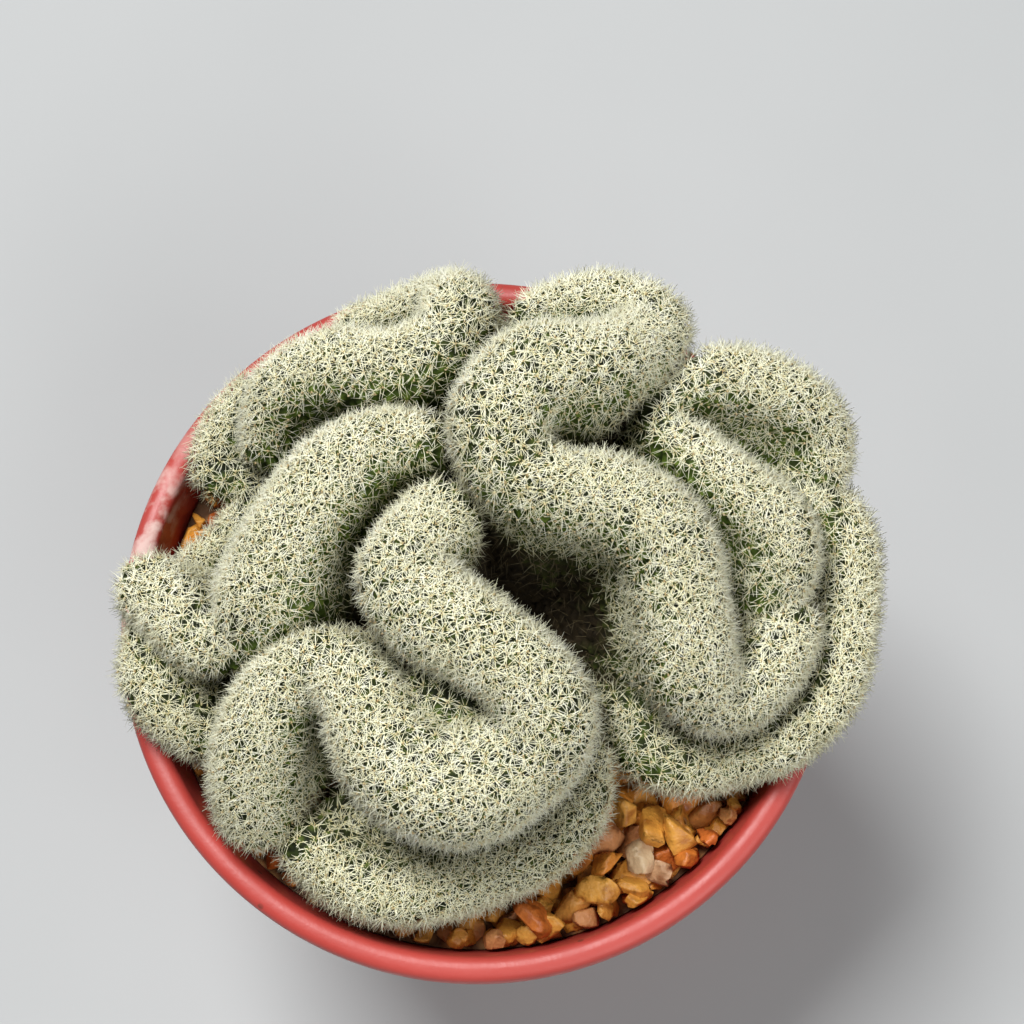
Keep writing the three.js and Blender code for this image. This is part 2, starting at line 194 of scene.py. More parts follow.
def ring_faces(rings, sides):
    """Faces of a closed skin of rings, numbered ring by ring, with a pole at each end after
    them: four-sided between the rings and three-sided at the poles."""
    i, j = np.meshgrid(np.arange(rings - 1), np.arange(sides), indexing="ij")
    k = (j + 1) % sides
    low, high = i * sides, (i + 1) * sides
    between = np.stack([low + j, low + k, high + k, high + j], -1).reshape(-1, 4)
    j = np.arange(sides)
    k = (j + 1) % sides
    pole, last = np.full(sides, rings * sides), (rings - 1) * sides
    first_cap = np.stack([pole, k, j], -1)
    last_cap = np.stack([pole + 1, last + j, last + k], -1)
    return between, np.concatenate([first_cap, last_cap])


def turned(profile, sides, x=0.0, y=0.0):
    """A solid of revolution: each point (r, z) of the profile goes to (x + r cos a, y + r sin a,
    z) at every angle a, and the profile's two ends close on the axis."""
    a = np.linspace(0, 2 * math.pi, sides, endpoint=False)
    r, z = profile[:, 0, None], profile[:, 1, None]
    rings = np.stack(np.broadcast_arrays(x + r * np.cos(a), y + r * np.sin(a), z), -1)
    poles = [[x, y, profile[0, 1]], [x, y, profile[-1, 1]]]
    return np.concatenate([rings.reshape(-1, 3), poles]), ring_faces(len(profile), sides)


def applied(piece):
    """Puts the result of the piece's modifiers into its mesh, and clears them."""
    graph = bpy.context.evaluated_depsgraph_get()
    mesh = bpy.data.meshes.new_from_object(piece.evaluated_get(graph))
    piece.modifiers.clear()
    piece.data = mesh
    return piece


def cut(piece, tool, operation, solver="EXACT"):
    """Joins the tool to the piece or cuts it out, and removes the tool."""
    boolean = piece.modifiers.new("cut", "BOOLEAN")
    boolean.operation, boolean.solver, boolean.object = operation, solver, tool
    applied(piece)
    bpy.data.objects.remove(tool)
    return piece


def blended(material, factor, first, second, kind="MIX"):
    """Two colours mixed by a factor, in the named way."""
    settings = {"data_type": "RGBA", "blend_type": kind}
    return node(material, "Mix", settings, s0=factor, s6=first, s7=second).outputs[2]


def bump(material, shader, height, depth, strength=1.0):
    """Small relief of the given depth in metres, from a height of 0 to 1."""
    made = node(material, "Bump", None, Height=height, Distance=depth, Strength=strength)
    material.node_tree.links.new(made.outputs["Normal"], shader.inputs["Normal"])


pot_finish, shader = finish_of("pot plastic", 0.36)
place = here(pot_finish)
cloud = noise(pot_finish, place, 55.0, 4.0)
plastic = ramp(pot_finish, cloud, (0.3, 0.37, 0.040, 0.030), (0.7, 0.43, 0.054, 0.043))

# Hard water has left lime round one place on the lip, broken up by noise and not below the lip.
stain_centre = (-0.0432, 0.010, 0.073)
from_stain = node(pot_finish, "VectorMath", {"operation": "DISTANCE"}, s0=place, s1=stain_centre)
stain_reach = node(pot_finish, "MapRange", None, Value=from_stain.outputs["Value"],
                   From_Min=0.004, From_Max=0.020, To_Min=0.62, To_Max=0.0)
stain_noise = noise(pot_finish, place, 420.0, 5.0)
stain_cut = node(pot_finish, "MapRange", None, Value=stain_noise, From_Min=0.46, From_Max=0.66)
place_z = node(pot_finish, "SeparateXYZ", None, Vector=place).outputs["Z"]
on_lip = node(pot_finish, "MapRange", None, Value=place_z, From_Min=0.0695, From_Max=0.0715)
lip_stain = node(pot_finish, "Math", {"operation": "MULTIPLY"},
                 s0=stain_reach.outputs[0], s1=on_lip.outputs[0])
stain = node(pot_finish, "Math", {"operation": "MULTIPLY"},
             s0=lip_stain.outputs[0], s1=stain_cut.outputs[0]).outputs[0]
limed = blended(pot_finish, stain, plastic, (0.78, 0.66, 0.60, 1))

# Grit is the small round middles of cells, in patches.
grit = node(pot_finish, "TexVoronoi", None, Vector=place, Scale=330.0)
grit_size = node(pot_finish, "MapRange", None, Value=grit.outputs["Distance"],
                 From_Min=0.10, From_Max=0.16, To_Min=1.0, To_Max=0.0)
grit_patch = node(pot_finish, "MapRange", None, Value=noise(pot_finish, place, 75.0),
                  From_Min=0.56, From_Max=0.62)
dirt = node(pot_finish, "Math", {"operation": "MULTIPLY"},
            s0=grit_size.outputs[0], s1=grit_patch.outputs[0]).outputs[0]
dirty = blended(pot_finish, dirt, limed, (0.06, 0.032, 0.02, 1))
colour(pot_finish, shader, dirty)
gloss = node(pot_finish, "MapRange", None, Value=noise(pot_finish, place, 260.0, 4.0),
             From_Min=0.3, From_Max=0.7, To_Min=0.40, To_Max=0.54)
matt = node(pot_finish, "Math", {"operation": "MULTIPLY_ADD"},
            s0=stain, s1=0.4, s2=gloss.outputs[0]).outputs[0]
colour(pot_finish, shader, matt, "Roughness")
bump(pot_finish, shader, noise(pot_finish, place, 1500.0, 2.0), 0.00003)

lip_foot, mid_floor = pot_height - lip_depth, 0.010
corners = [
    (mid_floor, 0), (base_radius, 0), (bore(lip_foot) + pot_wall, lip_foot), (lip_radius, lip_foot),
    (lip_radius, pot_height), (lip_inner, pot_height), (floor_inner, floor_top),
    (mid_floor, floor_top)]
reaches = [0.0005, 0.0008, 0.0005, 0.0009, 0.0016, 0.0013, 0.0009, 0.0005]
points, faces = turned(rounded(corners, reaches, steps=7), sides=192)
pot = made_object("pot_shell", points, faces, pot_finish)
drill_foot, drill_top = -0.001, 0.004
drill = np.array([[drain_radius, drill_foot], [drain_radius, drill_top]])
for number in range(drain_holes):
    angle = (number + 0.5) / drain_holes * 2 * math.pi
    x, y = drain_circle * math.cos(angle), drain_circle * math.sin(angle)
    points, faces = turned(drill, 40, x, y)
    cut(pot, made_object("drill", points, faces, None, smooth=False), "DIFFERENCE")
pot.data.set_sharp_from_angle(angle=math.radians(40))
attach(pot, "root")
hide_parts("pot")


# ---- Potting mix ----
# Dark peat and bark crumbs with a little white perlite, filled into the pot and seen only through
# the drain holes. The CAD node stays and gets this finish.

mix_finish, shader = finish_of("potting mix", 0.95)
place = here(mix_finish)
crumb = node(mix_finish, "TexVoronoi", None, Vector=place, Scale=620.0)
peat = ramp(mix_finish, noise(mix_finish, place, 900.0, 6.0), (0.3, 0.018, 0.010, 0.006),
            (0.6, 0.055, 0.030, 0.016), (0.8, 0.11, 0.065, 0.035))
perlite = node(mix_finish, "TexVoronoi", None, Vector=place, Scale=240.0)
fleck = node(mix_finish, "MapRange", None, Value=perlite.outputs["Distance"],
             From_Min=0.13, From_Max=0.17, To_Min=1.0, To_Max=0.0)
colour(mix_finish, shader, blended(mix_finish, fleck.outputs[0], peat, (0.55, 0.52, 0.46, 1)))
bump(mix_finish, shader, crumb.outputs["Distance"], 0.0009)
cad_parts["soil"].material_slots[0].material = mix_finish


# ---- Crest skin ----
# The living body of the cactus: a growing edge that has become a line, folded on itself like a
# brain. Each fold is a wall of flesh from the stem up to its crest line, and the skin is green
# and waxy, drawn up into a cone under each cluster of spines. It grew as one piece.

root = np.array([0.002, 0.003, 0.060])
spine_depth, neck_share, swell_share = 0.0020, 0.58, 1.05
wall_step, crest_foot = 0.0012, 0.0684

# Crest lines: each point is x, y, z and the fold's radius out to the spine tips, in mm.
folds_mm = {
    "middle and front": [
        (-4, 8, 94, 6), (-8, 1, 97, 6.5), (-5, -4, 99, 7), (1, -8, 100, 6.5), (6, -12, 99, 6.5),
        (8, -16, 97, 7), (5, -20, 94, 7.5), (-2, -23, 92, 8), (-9, -20, 92, 7.5), (-13, -13, 93, 6),
        (-17, -9, 92, 5.5), (-22, -11, 89, 6), (-25, -16, 86, 6.5), (-26, -21, 82, 6.5),
        (-26, -24, 79, 6)],
    "middle bend": [(-5, -12, 91, 5), (0, -14, 92, 5)],
    "left diagonal": [
        (-6, 17, 96, 4.5), (-12, 16, 96, 5.5), (-17, 12, 95, 6.5), (-21, 6, 93, 7), (-24, 0, 90, 7.5),
        (-27, -4, 87, 5.5), (-32, -5, 85, 5), (-36, -1, 84, 5.5), (-39, 2, 83, 5.5)],
    "left low": [(-38, -2, 80, 5.5), (-39, -9, 79.5, 5), (-35, -13, 78, 5), (-29, -16, 77, 4.5)],
    "left rear": [
        (-25, 20, 84, 5), (-23, 25, 88, 5.5), (-17, 27, 91, 6), (-10, 26, 94, 6), (-4, 28, 95, 6),
        (-2, 33, 93, 6), (-4, 36, 88, 5), (-10, 36, 83, 4.5), (-15, 35, 80, 4.5)],
    "left rear low": [
        (-27, 27, 80, 4.5), (-31, 23, 78, 4.5), (-32, 18, 77, 4.5), (-27, 16, 77, 4),
        (-30, 10, 76.5, 4), (-34, 6, 77, 4)],
    "right serpent": [
        (7, 33, 92, 4.5), (12, 34, 93, 5), (17, 34, 94, 5), (21, 31, 95, 5.5), (18, 27, 98, 6),
        (13, 24, 101, 6.5), (7, 23, 102, 7), (3, 18, 102, 7), (4, 13, 101, 6.5), (9, 10, 100, 6),
        (16, 9, 98, 6.5), (22, 5, 96, 6.5), (24, -2, 93, 6.5), (25, -8, 90, 6.5), (27, -11, 87, 6),
        (31, -11, 85, 5.5), (35, -7, 85, 5.5), (37, -3, 86, 5)],
    "right curl": [
        (41, 16, 86, 5), (41, 20, 88, 5), (38, 23, 91, 5), (32, 25, 93, 5), (27, 25, 94, 4.5),
        (22, 22, 94, 4), (22, 19, 94, 4), (25, 16, 94, 4.5), (30, 12, 93, 5), (35, 8, 91, 5.5),
        (36, 4, 89, 5.5), (35, 1, 87, 5)],
    "right low": [
        (38, 12, 86, 4), (42, 12, 84, 4.5), (45, 7, 83, 4.5), (45, 1, 82, 4.5), (44, -6, 81, 4.5),
        (42, -11, 80, 4.5), (37, -15, 78.5, 5), (31, -17, 77, 5), (25, -18, 76, 5), (20, -16, 76, 5),
        (19, -11, 78, 4.5)],
    "front low": [
        (-20, -28, 77, 5), (-15, -32, 75.5, 5), (-8, -33, 75.5, 5.5), (0, -31, 76, 5.5),
        (8, -28, 77, 5), (12, -23, 78, 5), (13, -18, 78, 4.5)],
    "rear low": [
        (-20, 30, 76, 4.5), (-12, 33, 76.5, 4.5), (-3, 34, 77, 5), (6, 33, 77, 5), (14, 34, 77, 4.5),
        (21, 31, 78, 4.5), (26, 26, 80, 4.5), (30, 22, 81, 4.5), (33, 17, 80, 4.5)],
}


def flowing(points, step):
    """Points every step along the Catmull-Rom curve through the given ones: each stretch is the
    cubic whose slope at a point is half the chord between that point's neighbours."""
    ends = np.vstack([2 * points[0] - points[1], points, 2 * points[-1] - points[-2]])
    cuts = 24
    t = np.linspace(0, 1, cuts, endpoint=False)[:, None, None]
    a, b, c, d = ends[:-3], ends[1:-2], ends[2:-1], ends[3:]
    cubic = 2 * b + (c - a) * t + (2 * a - 5 * b + 4 * c - d) * t**2
    curve = 0.5 * (cubic + (3 * b - a - 3 * c + d) * t**3)
    curve = np.vstack([curve.transpose(1, 0, 2).reshape(-1, points.shape[1]), points[-1:]])
    run = np.concatenate([[0], np.cumsum(np.linalg.norm(np.diff(curve[:, :3], axis=0), axis=1))])
    stations = np.linspace(0, run[-1], round(run[-1] / step) + 1)
    return np.stack([np.interp(stations, run, column) for column in curve.T], 1)


def unit(vectors):
    """The same directions with length 1."""
    return vectors / np.maximum(np.linalg.norm(vectors, axis=-1, keepdims=True), 1e-12)


folds = {name: 0.001 * np.array(points) for name, points in folds_mm.items()}
crest = np.concatenate([flowing(points, wall_step) for points in folds.values()])
crest_tips, crest_radii = crest[:, :3], crest[:, 3]


def wall_radius(below, radius):
    """How thick a fold is at a distance below its crest line: the neck's share of the crest's
    radius, and the rest of it fading by the bell curve exp(-(below / swell)^2)."""
    bell = np.exp(-((below / (swell_share * radius)) ** 2))
    return radius * (neck_share + (1 - neck_share) * bell)


def to_folds(points, depth=0.0):
    """Distance from points to the nearest fold, negative inside it, and how far below the crest
    line the nearest place on that fold's axis is. A fold is a row of cones of flesh from the root
    to its crest line: the distance to a cone's axis at the share t of its length, less the
    thickness there. The depth comes off the crest's radius."""
    axes = (crest_tips - root).astype(np.float32)
    length = np.linalg.norm(axes, axis=1)
    radius = (crest_radii - depth).astype(np.float32)
    found, under = np.empty(len(points)), np.empty(len(points))
    batch = 4000
    for start in range(0, len(points), batch):
        part = slice(start, start + batch)
        p = (points[part] - root).astype(np.float32)
        along = p @ axes.T
        t = np.clip(along / length**2, 0, 1)
        off = (p**2).sum(1)[:, None] + t * (t * length**2 - 2 * along)
        below = (1 - t) * length
        off = np.sqrt(np.maximum(off, 0)) - wall_radius(below, radius)
        rows, each = off.argmin(1), np.arange(len(p))
        found[part], under[part] = off[each, rows], below[each, rows]
    return found, under


def fold_walls(sides=18):
    """The cones of flesh as closed skins. Each is a row of rings round its axis: three on the
    root's cap, six down the neck, and five on the crest's cap, where the ring at the angle b has
    the radius r cos b and stands r sin b beyond the crest line."""
    count = len(crest_tips)
    length = np.linalg.norm(crest_tips - root, axis=1)[:, None]
    radius = (crest_radii - spine_depth)[:, None]
    low_cap, high_cap = np.radians([-75, -40, 0]), np.radians([0, 20, 40, 60, 78])
    below = radius * np.array([2.6, 1.9, 1.4, 1.0, 0.65, 0.3])
    foot = neck_share * radius
    neck = wall_radius(below, radius)
    radii = np.hstack([foot * np.cos(low_cap), neck, radius * np.cos(high_cap)])
    rise = length + radius * np.sin(high_cap)
    heights = np.hstack([foot * np.sin(low_cap), length - below, rise])
    a = np.linspace(0, 2 * math.pi, sides, endpoint=False)
    axis = unit(crest_tips - root)
    across = unit(np.cross(axis, [0.31, 0.17, -0.94]))
    third = np.cross(axis, across)
    circle = np.cos(a)[:, None] * across[:, None, :] + np.sin(a)[:, None] * third[:, None, :]
    up = heights[:, :, None, None] * axis[:, None, None, :]
    rings = radii[:, :, None, None] * circle[:, None] + up
    poles = np.stack([-foot * axis, (length + radius) * axis], 1)
    points = np.concatenate([rings.reshape(count, -1, 3), poles], 1) + root
    faces = [repeated(group, count, points.shape[1]) for group in ring_faces(radii.shape[1], sides)]
    return points.reshape(-1, 3), faces


def repeated(faces, count, size):
    """The same faces for each of count copies of a shape that has size points."""
    shift = size * np.arange(count)[:, None, None]
    return (faces[None] + shift).reshape(-1, faces.shape[1])


def mesh_points(piece, normals=False):
    """The piece's points, or their normals, as rows of an array."""
    source = piece.data.vertex_normals if normals else piece.data.vertices
    flat = np.empty(3 * len(piece.data.vertices), np.float32)
    source.foreach_get("vector" if normals else "co", flat)
    return flat.reshape(-1, 3).astype(float)


def set_points(piece, points):
    """Moves the piece's points to these rows."""
    piece.data.vertices.foreach_set("co", points.astype(np.float32).ravel())
    piece.data.update()


def eased_points(piece, times, share=0.5):
    """Each point moved by a share towards the mean of the points that edges join it to."""
    pairs = np.empty(2 * len(piece.data.edges), np.int32)
    piece.data.edges.foreach_get("vertices", pairs)
    one, other = pairs.reshape(-1, 2).T
    points = mesh_points(piece)
    number = np.bincount(one, minlength=len(points)) + np.bincount(other, minlength=len(points))
    for _ in range(times):
        total = np.stack([np.bincount(one, points[other, k], len(points))
                          + np.bincount(other, points[one, k], len(points)) for k in range(3)], 1)
        points = points + share * (total / number[:, None] - points)
    return points


skin_grain = 0.00070
points, faces = fold_walls()
skin = made_object("crest_skin", points, faces, None)
remesh = skin.modifiers.new("one skin", "REMESH")
remesh.mode, remesh.voxel_size, remesh.use_smooth_shade = "VOXEL", skin_grain, True
applied(skin)
set_points(skin, eased_points(skin, 3))


def two_nearest(points, among):
    """For each point, the row of its nearest one among others and its two least distances, with
    the squared distance taken as a.a + b.b - 2 a.b."""
    centre = among.mean(0)
    among = (among - centre).astype(np.float32) * 1000
    size = (among**2).sum(1)
    rows, first, second = np.empty(len(points), int), np.empty(len(points)), np.empty(len(points))
    batch = 3000
    for start in range(0, len(points), batch):
        part = slice(start, start + batch)
        p = (points[part] - centre).astype(np.float32) * 1000
        square = (p**2).sum(1)[:, None] + size - 2 * p @ among.T
        each = np.arange(len(p))
        rows[part] = square.argmin(1)
        first[part] = square[each, rows[part]]
        square[each, rows[part]] = np.inf
        second[part] = square.min(1)
    return rows, 0.001 * np.sqrt(np.maximum(first, 0)), 0.001 * np.sqrt(np.maximum(second, 0))


def thinned(points, room):
    """Rows of the points that stay: in each round a point stays if no earlier one that is left
    is nearer than room, and the later ones near it go."""
    pairs, batch = [], 2000
    for start in range(0, len(points), batch):
        part = points[start:start + batch]
        square = (part**2).sum(1)[:, None] + (points**2).sum(1) - 2 * part @ points.T
        near = np.argwhere(square < room**2) + [start, 0]
        pairs.append(near[near[:, 0] > near[:, 1]])
    later, earlier = np.concatenate(pairs).T
    left, stay = np.ones(len(points), bool), np.zeros(len(points), bool)
    while left.any():
        held = np.zeros(len(points), bool)
        held[later[left[earlier]]] = True
        first = left & ~held
        stay |= first
        left &= ~first
        left[later[first[earlier]]] = False
    return np.flatnonzero(stay)


row_gap, row_step, rows_down = 0.00128, 0.00136, 22


def rows_over(points):
    """Places in rows over one fold, each on the bare flesh and then on the finished skin: at the
    length w to either side of the crest line, over the crest's round at the angle w / r, and then
    down the flank beside the axis to the root."""
    line = flowing(points, row_step)
    tip, radius = line[:, :3], line[:, None, 3:]
    along = unit(np.gradient(tip, axis=0))
    down = unit(root - tip)
    side = unit(np.cross(along, down))
    out = np.cross(side, along) * np.sign((np.cross(side, along) * -down).sum(1, keepdims=True))
    number = np.arange(-rows_down, rows_down + 1)
    w = row_gap * number[None, :, None] + 0 * radius
    quarter = 0.5 * math.pi * radius
    bend = np.clip(w, -quarter, quarter) / radius
    flank = np.maximum(np.abs(w) - quarter, 0)
    shift = (0.5 * row_step * (number % 2))[None, :, None] * along[:, None]
    narrow = wall_radius(flank, radius) / radius
    over = np.cos(bend) * out[:, None] + np.sin(bend) * narrow * side[:, None]
    middle = tip[:, None] + shift + flank * down[:, None]
    bare, finished = middle + (radius - spine_depth) * over, middle + radius * over
    return np.stack([bare, finished], 2).reshape(-1, 2, 3)


# Areoles stand in rows over each fold, as far apart as their room, and stray ones fill the rest.
random = np.random.default_rng(7)
row_room, stray_room, row_scatter = 0.00108, 0.00106, 0.00010
stray_rounds, stray_draws = 3, 22000
places = np.concatenate([rows_over(points) for points in folds.values()])
sunk_at_most, off_skin_at_most = 0.00025, 0.0008
outer = to_folds(places[:, 0], spine_depth)[0] > -sunk_at_most
places = places[outer & (places[:, 0, 2] > crest_foot)]
skin_points, skin_normals = mesh_points(skin), mesh_points(skin, normals=True)
chosen = thinned(places[:, 1], row_room)
places = places[chosen, 0] + random.normal(0, row_scatter, (len(chosen), 3))
rows, away, _ = two_nearest(places, skin_points)
at_skin = away < off_skin_at_most
areoles, outward = places[at_skin], skin_normals[rows[at_skin]]
open_skin = np.flatnonzero(skin_points[:, 2] > crest_foot + 0.0005)
for _ in range(stray_rounds):
    free = random.choice(open_skin, stray_draws, replace=False)
    _, away, _ = two_nearest(skin_points[free], areoles)
    free = free[away > stray_room]
    free = free[thinned(skin_points[free], stray_room)]
    areoles = np.vstack([areoles, skin_points[free]])
    outward = np.vstack([outward, skin_normals[free]])

# Each point of the skin rises towards its nearest areole, and not at all halfway to the next.
cone_height, foot_fade = 0.0009, 0.001
rows, near, next_near = two_nearest(skin_points, areoles)
rise = np.sin(0.5 * math.pi * (next_near - near) / (next_near + near))
rise *= np.clip((skin_points[:, 2] - crest_foot) / foot_fade, 0, 1)
raised = skin_points + cone_height * rise[:, None] * skin_normals


def openness(skin, points, outward, count=16, reach=0.04, clear=0.0004):
    """The share of the open sky over each point, from 0 to 1: of count ways spread at the golden
    angle over the half ball round the way out, and started clear of the skin, those that meet no
    flesh within the reach."""
    faces = [list(face.vertices) for face in skin.data.polygons]
    tree = BVHTree.FromPolygons(mesh_points(skin).tolist(), faces)
    number = np.arange(count) + 0.5
    height, angle = 1 - number / (count + 1), number * math.pi * (3 - math.sqrt(5))
    across = unit(np.cross(outward, [0.36, -0.48, 0.8]))
    third = np.cross(outward, across)
    level = np.sqrt(1 - height**2)
    ways = (height[:, None] * outward[:, None] + (level * np.cos(angle))[:, None] * across[:, None]
            + (level * np.sin(angle))[:, None] * third[:, None])
    starts = points[:, None] + clear * ways
    return np.array([sum(tree.ray_cast(start, way, reach)[0] is None for start, way in zip(*each))
                     for each in zip(starts.tolist(), ways.tolist())]) / count


def off_the_pot(points, room):
    """Points kept clear of the pot: one more than 30 mm out that lies within the lip goes up to
    its top, or in to its bore, whichever is nearer."""
    radius = np.hypot(points[:, 0], points[:, 1])
    up = pot_height + room - points[:, 2]
    inward = radius - (bore(points[:, 2]) - room)
    inside = (up > 0) & (inward > 0) & (radius > 0.03)
    lift, pull = inside & (up <= inward), inside & (up > inward)
    points = points.copy()
    points[lift, 2] += up[lift]
    points[pull, :2] *= (1 - inward[pull] / radius[pull])[:, None]
    return points


def set_values(piece, name, values):
    """Gives each of the piece's points a value that its material reads by that name."""
    attribute = piece.data.attributes.new(name, "FLOAT", "POINT")
    attribute.data.foreach_set("value", np.asarray(values, np.float32))


pot_room = 0.0004
set_points(skin, off_the_pot(raised, pot_room))
tips = off_the_pot(areoles + (cone_height + 0.0001) * outward, pot_room)
below = to_folds(areoles, spine_depth)[1]
sky = openness(skin, tips, outward)

# Flesh deep down a flank with little sky over it has dried out and is painted dark: partly the
# dried flesh's own brown, and partly painted shade of the deep creases. Flesh on the near flanks,
# partly sheltered, is the freshest green.
dried_and_shaded = np.clip((below - 0.006) / 0.006, 0, 1) * np.clip((0.5 - sky) / 0.3, 0, 1)
near_flank = np.clip((-outward[:, 1] - 0.15) / 0.4, 0, 1)
fresh = near_flank * np.clip((0.92 - sky) / 0.25, 0, 1) * (1 - dried_and_shaded)
set_values(skin, "rise", rise)
set_values(skin, "dried_and_shaded", dried_and_shaded[rows])
set_values(skin, "fresh", fresh[rows])

# The folds end in a flat foot just over the gravel, and only the stem goes on down.
block_radius, block_foot = 0.08, 0.040
stem_radius, stem_foot, stem_top = 0.006, 0.046, 0.0695
points, faces = turned(np.array([[block_radius, block_foot], [block_radius, crest_foot]]), 24)
cut(skin, made_object("below", points, faces, None), "DIFFERENCE", "MANIFOLD")
stem = np.array([[stem_radius, stem_foot], [stem_radius, stem_top]])
points, faces = turned(stem, 48, root[0], root[1])
cut(skin, made_object("stem", points, faces, None), "UNION", "MANIFOLD")

skin_finish, shader = finish_of("crest skin", 0.7)
shader.inputs["Specular IOR Level"].default_value = 0.25
place = here(skin_finish)
# The cones' rise sets the skin's colour: both green ramps run from near black in the hollows between
# the cones to green at the tips, which is painted shade in the hollows over the skin's own green.
height = node(skin_finish, "Attribute", {"attribute_name": "rise"}).outputs["Fac"]
withered_and_shaded = node(skin_finish, "Attribute", {"attribute_name": "dried_and_shaded"}).outputs["Fac"]
green_with_hollow_shade = ramp(skin_finish, height, (0.0, 0.004, 0.006, 0.002), (0.35, 0.018, 0.025, 0.005),
             (0.85, 0.080, 0.110, 0.020), (1.0, 0.13, 0.17, 0.034))
tint = ramp(skin_finish, noise(skin_finish, place, 130.0, 3.0),
            (0.3, 0.84, 0.86, 0.66), (0.7, 1.0, 1.0, 0.72))
fresher = node(skin_finish, "Attribute", {"attribute_name": "fresh"}).outputs["Fac"]
lush_with_hollow_shade = ramp(skin_finish, height, (0.0, 0.018, 0.032, 0.006), (0.5, 0.075, 0.12, 0.020),
            (1.0, 0.20, 0.28, 0.060))
living = blended(skin_finish, 1.0, blended(skin_finish, fresher, green_with_hollow_shade, lush_with_hollow_shade), tint, "MULTIPLY")
# Dried flesh in the sheltered creases takes this dark corky brown: partly its own colour and partly
# painted shade.
corky = ramp(skin_finish, noise(skin_finish, place, 700.0, 4.0),
             (0.3, 0.010, 0.007, 0.003), (0.7, 0.035, 0.024, 0.010))
colour(skin_finish, shader, blended(skin_finish, withered_and_shaded, living, corky))
bump(skin_finish, shader, noise(skin_finish, place, 5200.0, 3.0), 0.00008)
skin.data.materials.clear()
skin.data.materials.append(skin_finish)
skin.data.shade_smooth()
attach(skin, "root")
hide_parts("cactus")


# ---- Spines ----
# Each cone of the skin ends in an areole, a small tan cushion that carries a star of up to
# fifteen straight pale spines, spread out sideways, and two shorter ones that stand up.

radial_count, central_count, spine_width = 15, 2, 0.00009


def spikes(name, roots, ways, lengths, width, outward, tones, material):
    """Closed slivers of four faces: two corners at half the width to either side of the root, and
    two, three quarters as far apart and a quarter turn round, at the root plus the length along
    the way. A corner's normal is the way out of the skin, leaned over to the corner's side."""
    across = 0.5 * width * unit(np.cross(ways, [0.36, -0.48, 0.8]))
    third = 0.75 * np.cross(ways, across)
    ends = roots + lengths[:, None] * ways
    points = np.stack([roots - across, roots + across, ends - third, ends + third], 1)
    sides = np.array([[1, 0, 3], [0, 1, 2], [3, 2, 1], [2, 3, 0]])
    made = made_object(name, points.reshape(-1, 3), [repeated(sides, len(roots), 4)], material)
    rim = np.stack([-across, across, -third, third], 1) / width
    normals = unit(outward[:, None] + 0.8 * rim)
    made.data.normals_split_custom_set_from_vertices(normals.reshape(-1, 3).tolist())
    set_values(made, "tone", np.repeat(tones, 4))
    set_values(made, "along", np.tile([0, 0, 1, 1], len(roots)))
    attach(made, "root")
    return made


spine_finish, shader = finish_of("spine", 0.6)
shader.inputs["Specular IOR Level"].default_value = 0.3
each_tone = node(spine_finish, "Attribute", {"attribute_name": "tone"}).outputs["Fac"]
each_along = node(spine_finish, "Attribute", {"attribute_name": "along"}).outputs["Fac"]
shade = ramp(spine_finish, each_tone, (0.0, 0.10, 0.08, 0.045), (0.3, 0.58, 0.56, 0.36),
             (0.55, 0.80, 0.79, 0.57), (1.0, 0.90, 0.90, 0.78))
root_tint = ramp(spine_finish, each_along, (0.0, 0.86, 0.76, 0.50), (0.35, 1.0, 1.0, 1.0))
colour(spine_finish, shader, blended(spine_finish, 1.0, shade, root_tint, "MULTIPLY"))

# Only areoles with some open sky carry spines. A spine's rise is its angle above the skin.
seen = sky > 0.03
tips, outward, dried_and_shaded, sky = tips[seen], outward[seen], dried_and_shaded[seen], sky[seen]
radial_rise, central_rise, rise_scatter, turn_scatter = 0.44, 1.05, 0.30, 0.34
radial_length, central_length, shortest, longest = 0.00160, 0.00140, 0.65, 1.25
star = radial_count + central_count
usual_rise = np.repeat([radial_rise, central_rise], [radial_count, central_count])
usual_length = np.repeat([radial_length, central_length], [radial_count, central_count])
around = 2 * math.pi * np.concatenate([np.arange(radial_count) / radial_count,
                                       np.arange(central_count) / central_count])
stars = (len(tips), star)
azimuth = around + random.uniform(0, 2 * math.pi, (len(tips), 1))
azimuth = azimuth + random.normal(0, turn_scatter, stars)
lean = usual_rise + random.normal(0, rise_scatter, stars)
length = usual_length * random.uniform(shortest, longest, stars)
across = unit(np.cross(outward, [0.36, -0.48, 0.8]))
third = np.cross(outward, across)
flat = np.cos(azimuth)[..., None] * across[:, None] + np.sin(azimuth)[..., None] * third[:, None]
way = unit(np.cos(lean)[..., None] * flat + np.sin(lean)[..., None] * outward[:, None])

# Roots stand off the areole's middle, each to its own side, and sink into the skin's cone.
root_gap, root_scatter, root_sunk = 0.00030, 0.9, 0.0002
gap = root_gap * random.uniform(0.1, 1.9, stars)[..., None]
azimuth = azimuth + random.normal(0, root_scatter, stars)
aside = np.cos(azimuth)[..., None] * across[:, None] + np.sin(azimuth)[..., None] * third[:, None]
start = tips[:, None] + gap * aside - (root_sunk + 0.6 * gap) * outward[:, None]

